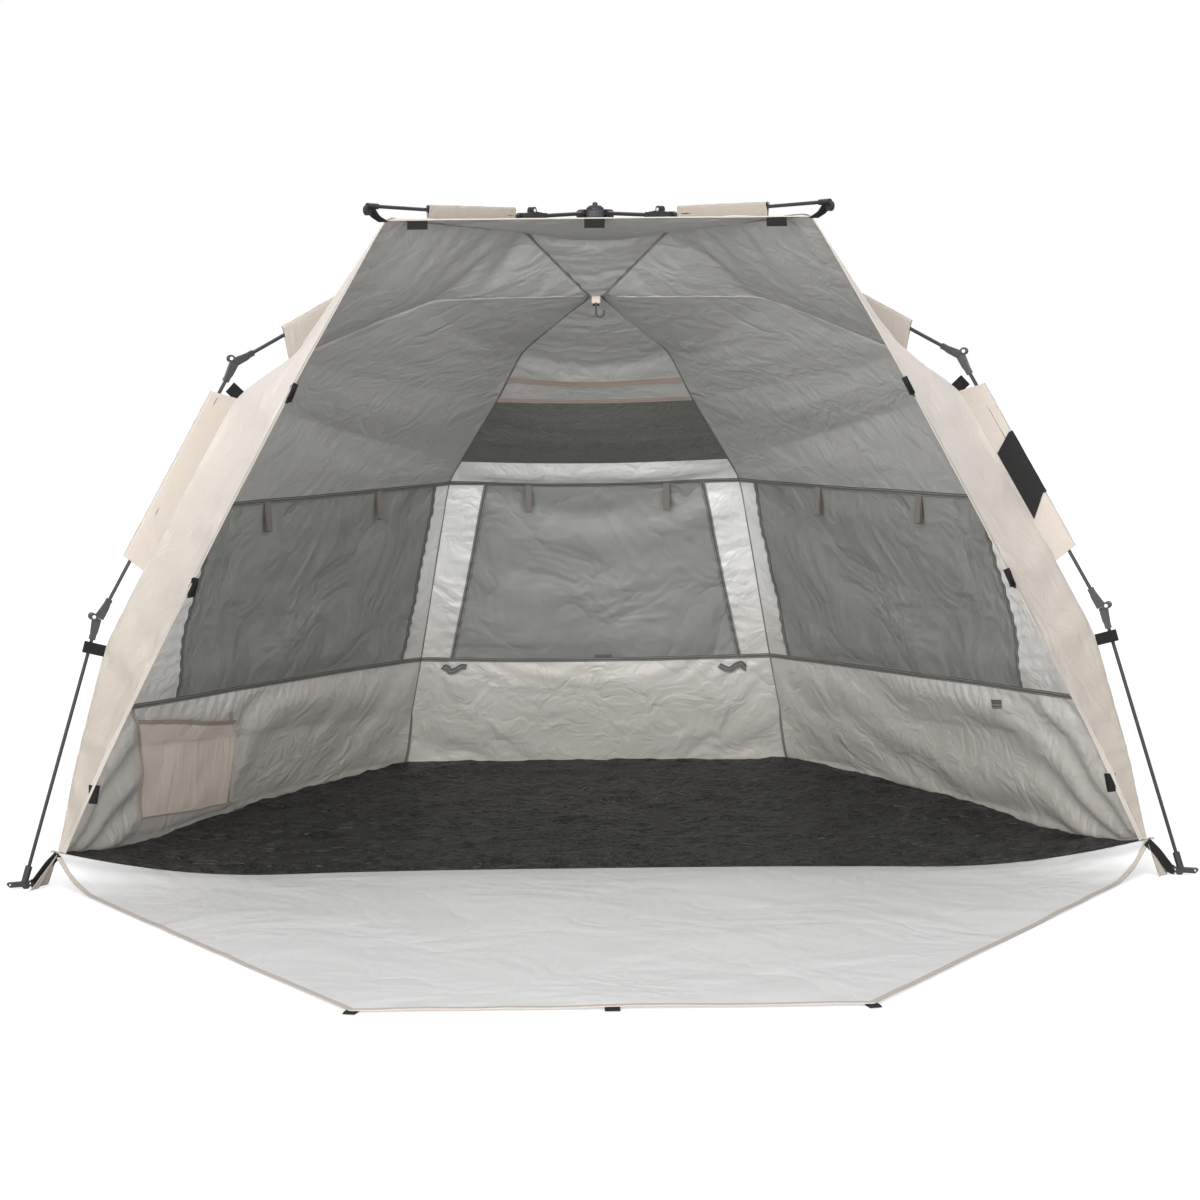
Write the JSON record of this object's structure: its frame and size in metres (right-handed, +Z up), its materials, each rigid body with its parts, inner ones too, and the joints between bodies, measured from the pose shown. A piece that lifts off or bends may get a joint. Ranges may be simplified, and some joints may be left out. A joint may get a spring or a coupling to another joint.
{
  "type": "quick-up beach tent",
  "caption": "Open-fronted beach shelter with a hub frame of jointed folding legs, hung canopy with windows, floor and fold-down porch.",
  "frame": {"origin": "on the ground under the hub's axis, in the plane of the floor's underside", "axes": "+Z up, the open front with the porch faces -Y, +X to the right seen from the front"},
  "size_m": [2.6048, 2.8655, 1.4904],
  "materials": {
    "black_plastic": "satin moulded plastic",
    "black_rod": "smooth coated fibreglass",
    "beige_fabric": "matt woven polyester",
    "grey_lining": "silver-grey coated inner side of the canopy fabric",
    "floor_fabric": "crinkled dark sheet",
    "porch_fabric": "light grey coated fabric",
    "window_mesh": "fine dark mesh",
    "black_webbing": "woven webbing"
  },
  "bodies": {
    "canopy": {"floor": "floor_fabric", "side_wall_right": "grey_lining", "side_wall_left": "grey_lining", "wing_right": "beige_fabric", "wing_left": "beige_fabric", "rear_roof": "beige_fabric", "vent_mesh": "window_mesh", "rear_wall": "grey_lining", "awning_panel": "grey_lining"},
    "hub": {"hub_body": "black_plastic", "hub_cap": "black_plastic", "apex_strap": "black_webbing"},
    "arm_front_right": {"arm_front_right": "black_plastic"},
    "upper_front_right": {"upper_rod_front_right": "black_rod", "upper_knuckle_front_right": "black_plastic", "upper_sleeve_front_right": "beige_fabric"},
    "mid_front_right": {"mid_rod_front_right": "black_rod", "lower_knuckle_front_right": "black_plastic", "mid_sleeve_front_right": "beige_fabric"},
    "lower_front_right": {"lower_rod_front_right": "black_rod", "foot_front_right": "black_plastic"},
    "arm_rear_right": {"arm_rear_right": "black_plastic"},
    "upper_rear_right": {"upper_rod_rear_right": "black_rod", "upper_knuckle_rear_right": "black_plastic"},
    "mid_rear_right": {"mid_rod_rear_right": "black_rod", "lower_knuckle_rear_right": "black_plastic", "mid_sleeve_rear_right": "beige_fabric"},
    "lower_rear_right": {"lower_rod_rear_right": "black_rod", "foot_rear_right": "black_plastic"},
    "arm_awning_right": {"arm_awning_right": "black_plastic"},
    "awning_right": {"awning_rod_right": "black_rod", "awning_tip_right": "black_plastic", "awning_sleeve_right": "beige_fabric"},
    "arm_front_left": {"arm_front_left": "black_plastic"},
    "upper_front_left": {"upper_rod_front_left": "black_rod", "upper_knuckle_front_left": "black_plastic", "upper_sleeve_front_left": "beige_fabric"},
    "mid_front_left": {"mid_rod_front_left": "black_rod", "lower_knuckle_front_left": "black_plastic", "mid_sleeve_front_left": "beige_fabric"},
    "lower_front_left": {"lower_rod_front_left": "black_rod", "foot_front_left": "black_plastic"},
    "arm_rear_left": {"arm_rear_left": "black_plastic"},
    "upper_rear_left": {"upper_rod_rear_left": "black_rod", "upper_knuckle_rear_left": "black_plastic"},
    "mid_rear_left": {"mid_rod_rear_left": "black_rod", "lower_knuckle_rear_left": "black_plastic", "mid_sleeve_rear_left": "beige_fabric"},
    "lower_rear_left": {"lower_rod_rear_left": "black_rod", "foot_rear_left": "black_plastic"},
    "arm_awning_left": {"arm_awning_left": "black_plastic"},
    "awning_left": {"awning_rod_left": "black_rod", "awning_tip_left": "black_plastic", "awning_sleeve_left": "beige_fabric"},
    "porch": {"porch": "porch_fabric"},
    "hook": {"apex_hook": "black_plastic"},
    "cover_right": {"window_cover_right": "beige_fabric"},
    "cover_left": {"window_cover_left": "beige_fabric"},
    "cover_rear": {"window_cover_rear": "beige_fabric"}
  },
  "joints": [
    {"name": "hub_drop", "type": "slide", "parent": "canopy", "child": "hub", "axis": [0, 0, -1], "range_m": [0, 1.2], "deforming": ["side_wall_right", "side_wall_left", "wing_right", "wing_left", "rear_roof", "vent_mesh", "rear_wall", "awning_panel", "window_cover_right", "window_cover_left", "window_cover_rear", "porch"]},
    {"name": "arm_front_right_turn", "type": "hinge", "parent": "hub", "child": "arm_front_right", "pos_m": [0.03185, -0.01191, 1.46409], "axis": [-0.3502, -0.9367, 0], "range_deg": [-15.5, 0]},
    {"name": "upper_front_right_turn", "type": "hinge", "parent": "arm_front_right", "child": "upper_front_right", "pos_m": [0.24822, -0.0928, 1.46409], "axis": [-0.3502, -0.9367, 0], "range_deg": [0, 43.6]},
    {"name": "mid_front_right_turn", "type": "hinge", "parent": "upper_front_right", "child": "mid_front_right", "pos_m": [0.80677, -0.30164, 1.14568], "axis": [-0.3502, -0.9367, 0], "range_deg": [0, 208.6]},
    {"name": "lower_front_right_turn", "type": "hinge", "parent": "mid_front_right", "child": "lower_front_right", "pos_m": [1.10469, -0.41303, 0.59031], "axis": [-0.3502, -0.9367, 0], "range_deg": [0, 195.4]},
    {"name": "arm_rear_right_turn", "type": "hinge", "parent": "hub", "child": "arm_rear_right", "pos_m": [0.01442, 0.03079, 1.46409], "axis": [0.9056, -0.4242, 0], "range_deg": [-2.6, 0]},
    {"name": "upper_rear_right_turn", "type": "hinge", "parent": "arm_rear_right", "child": "upper_rear_right", "pos_m": [0.10994, 0.2347, 1.41252], "axis": [0.9056, -0.4242, 0], "range_deg": [0, 37.5]},
    {"name": "mid_rear_right_turn", "type": "hinge", "parent": "upper_rear_right", "child": "mid_rear_right", "pos_m": [0.34513, 0.73676, 1.02574], "axis": [0.9056, -0.4242, 0], "range_deg": [0, 200.5]},
    {"name": "lower_rear_right_turn", "type": "hinge", "parent": "mid_rear_right", "child": "lower_rear_right", "pos_m": [0.48536, 1.03613, 0.47773], "axis": [0.9056, -0.4242, 0], "range_deg": [0, 185]},
    {"name": "arm_awning_right_turn", "type": "hinge", "parent": "hub", "child": "arm_awning_right", "pos_m": [0.01822, -0.02871, 1.46409], "axis": [-0.8443, -0.5358, 0], "range_deg": [-15.5, 0]},
    {"name": "awning_right_turn", "type": "hinge", "parent": "arm_awning_right", "child": "awning_right", "pos_m": [0.14199, -0.22375, 1.46409], "axis": [-0.8443, -0.5358, 0], "range_deg": [0, 16.1]},
    {"name": "arm_front_left_turn", "type": "hinge", "parent": "hub", "child": "arm_front_left", "pos_m": [-0.03185, -0.01191, 1.46409], "axis": [-0.3502, 0.9367, 0], "range_deg": [-15.5, 0]},
    {"name": "upper_front_left_turn", "type": "hinge", "parent": "arm_front_left", "child": "upper_front_left", "pos_m": [-0.24822, -0.0928, 1.46409], "axis": [-0.3502, 0.9367, 0], "range_deg": [0, 43.6]},
    {"name": "mid_front_left_turn", "type": "hinge", "parent": "upper_front_left", "child": "mid_front_left", "pos_m": [-0.80677, -0.30164, 1.14568], "axis": [-0.3502, 0.9367, 0], "range_deg": [0, 208.6]},
    {"name": "lower_front_left_turn", "type": "hinge", "parent": "mid_front_left", "child": "lower_front_left", "pos_m": [-1.10469, -0.41303, 0.59031], "axis": [-0.3502, 0.9367, 0], "range_deg": [0, 195.4]},
    {"name": "arm_rear_left_turn", "type": "hinge", "parent": "hub", "child": "arm_rear_left", "pos_m": [-0.01442, 0.03079, 1.46409], "axis": [0.9056, 0.4242, 0], "range_deg": [-2.6, 0]},
    {"name": "upper_rear_left_turn", "type": "hinge", "parent": "arm_rear_left", "child": "upper_rear_left", "pos_m": [-0.10994, 0.2347, 1.41252], "axis": [0.9056, 0.4242, 0], "range_deg": [0, 37.5]},
    {"name": "mid_rear_left_turn", "type": "hinge", "parent": "upper_rear_left", "child": "mid_rear_left", "pos_m": [-0.34513, 0.73676, 1.02574], "axis": [0.9056, 0.4242, 0], "range_deg": [0, 200.5]},
    {"name": "lower_rear_left_turn", "type": "hinge", "parent": "mid_rear_left", "child": "lower_rear_left", "pos_m": [-0.48536, 1.03613, 0.47773], "axis": [0.9056, 0.4242, 0], "range_deg": [0, 185]},
    {"name": "arm_awning_left_turn", "type": "hinge", "parent": "hub", "child": "arm_awning_left", "pos_m": [-0.01822, -0.02871, 1.46409], "axis": [-0.8443, 0.5358, 0], "range_deg": [-15.5, 0]},
    {"name": "awning_left_turn", "type": "hinge", "parent": "arm_awning_left", "child": "awning_left", "pos_m": [-0.14199, -0.22375, 1.46409], "axis": [-0.8443, 0.5358, 0], "range_deg": [0, 16.1]},
    {"name": "porch_fold", "type": "hinge", "parent": "canopy", "child": "porch", "pos_m": [0, -0.45272, 0.002], "axis": [-1, 0, 0], "range_deg": [0, 78]},
    {"name": "hook_swing", "type": "hinge", "parent": "hub", "child": "hook", "pos_m": [0, 0, 1.25859], "axis": [0, 1, 0], "range_deg": [-60, 60]},
    {"name": "cover_right_lift", "type": "hinge", "parent": "canopy", "child": "cover_right", "pos_m": [0.6431, 0.27278, 0.8105], "axis": [0.4332, -0.9012, 0.0112], "range_deg": [0, 100]},
    {"name": "cover_left_lift", "type": "hinge", "parent": "canopy", "child": "cover_left", "pos_m": [-0.6431, 0.27278, 0.8105], "axis": [0.4332, 0.9012, -0.0112], "range_deg": [0, 100]},
    {"name": "cover_rear_lift", "type": "hinge", "parent": "canopy", "child": "cover_rear", "pos_m": [0, 0.80933, 0.80378], "axis": [1, 0, 0], "range_deg": [0, 100]}
  ],
  "couplings": [
    {"joint": "arm_front_right_turn", "follows": "hub_drop", "rad_per_m": -0.21817},
    {"joint": "upper_front_right_turn", "follows": "hub_drop", "rad_per_m": 0.62686},
    {"joint": "mid_front_right_turn", "follows": "hub_drop", "rad_per_m": 3.0267},
    {"joint": "lower_front_right_turn", "follows": "hub_drop", "rad_per_m": 2.8347},
    {"joint": "arm_rear_right_turn", "follows": "hub_drop", "rad_per_m": -0.030543},
    {"joint": "upper_rear_right_turn", "follows": "hub_drop", "rad_per_m": 0.53814},
    {"joint": "mid_rear_right_turn", "follows": "hub_drop", "rad_per_m": 2.9089},
    {"joint": "lower_rear_right_turn", "follows": "hub_drop", "rad_per_m": 2.6834},
    {"joint": "arm_awning_right_turn", "follows": "hub_drop", "rad_per_m": -0.21817},
    {"joint": "awning_right_turn", "follows": "hub_drop", "rad_per_m": 0.22689},
    {"joint": "arm_front_left_turn", "follows": "hub_drop", "rad_per_m": -0.21817},
    {"joint": "upper_front_left_turn", "follows": "hub_drop", "rad_per_m": 0.62686},
    {"joint": "mid_front_left_turn", "follows": "hub_drop", "rad_per_m": 3.0267},
    {"joint": "lower_front_left_turn", "follows": "hub_drop", "rad_per_m": 2.8347},
    {"joint": "arm_rear_left_turn", "follows": "hub_drop", "rad_per_m": -0.030543},
    {"joint": "upper_rear_left_turn", "follows": "hub_drop", "rad_per_m": 0.53814},
    {"joint": "mid_rear_left_turn", "follows": "hub_drop", "rad_per_m": 2.9089},
    {"joint": "lower_rear_left_turn", "follows": "hub_drop", "rad_per_m": 2.6834},
    {"joint": "arm_awning_left_turn", "follows": "hub_drop", "rad_per_m": -0.21817},
    {"joint": "awning_left_turn", "follows": "hub_drop", "rad_per_m": 0.22689}
  ]
}
